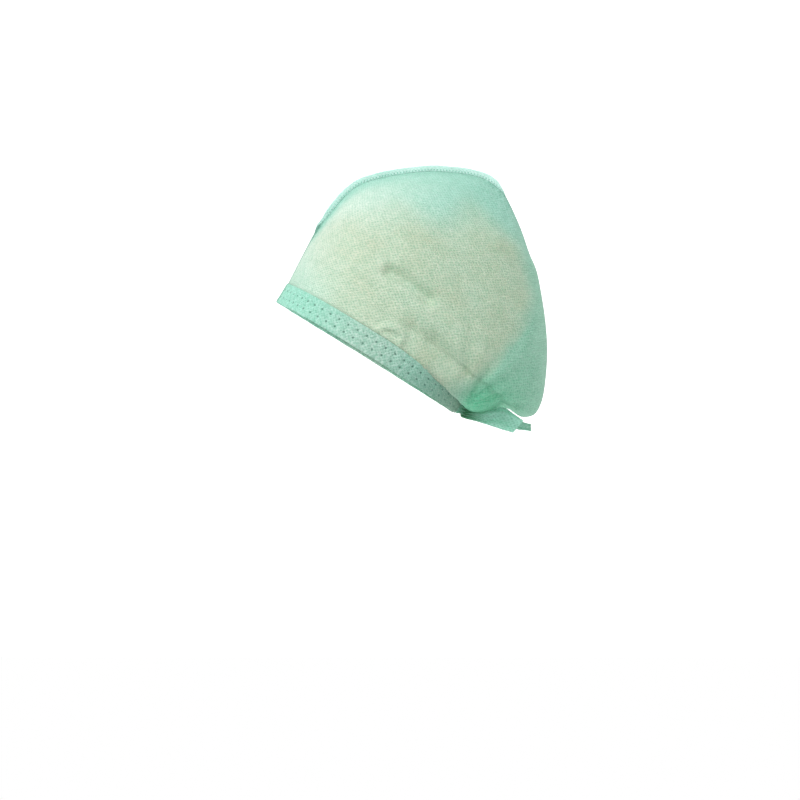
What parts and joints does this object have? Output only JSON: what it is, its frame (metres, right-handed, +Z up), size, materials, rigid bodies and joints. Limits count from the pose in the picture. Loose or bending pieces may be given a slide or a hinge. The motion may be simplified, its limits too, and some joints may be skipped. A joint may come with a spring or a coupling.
{
  "type": "tie-on surgical cap",
  "caption": "Thin nonwoven surgical cap with a creased, seamed crown that pouches at the back, a dotted weld band round the head opening, and ties knotted at the nape.",
  "frame": {"origin": "middle of the head opening, half way between its brow and nape ends", "axes": "worn on an upright head: +X from the brow to the back, +Y to the wearer's right, +Z up"},
  "size_m": [0.2387, 0.1566, 0.2361],
  "materials": {
    "crown_cloth": "thin translucent spunbond nonwoven",
    "seam_cloth": "two welded plies of the same nonwoven",
    "band_cloth": "folded plies with small weld dots"
  },
  "bodies": {
    "root": {"crown": "crown_cloth", "top_seam": "seam_cloth", "band": "band_cloth", "tie_left": "band_cloth", "tie_right": "band_cloth"}
  },
  "joints": []
}
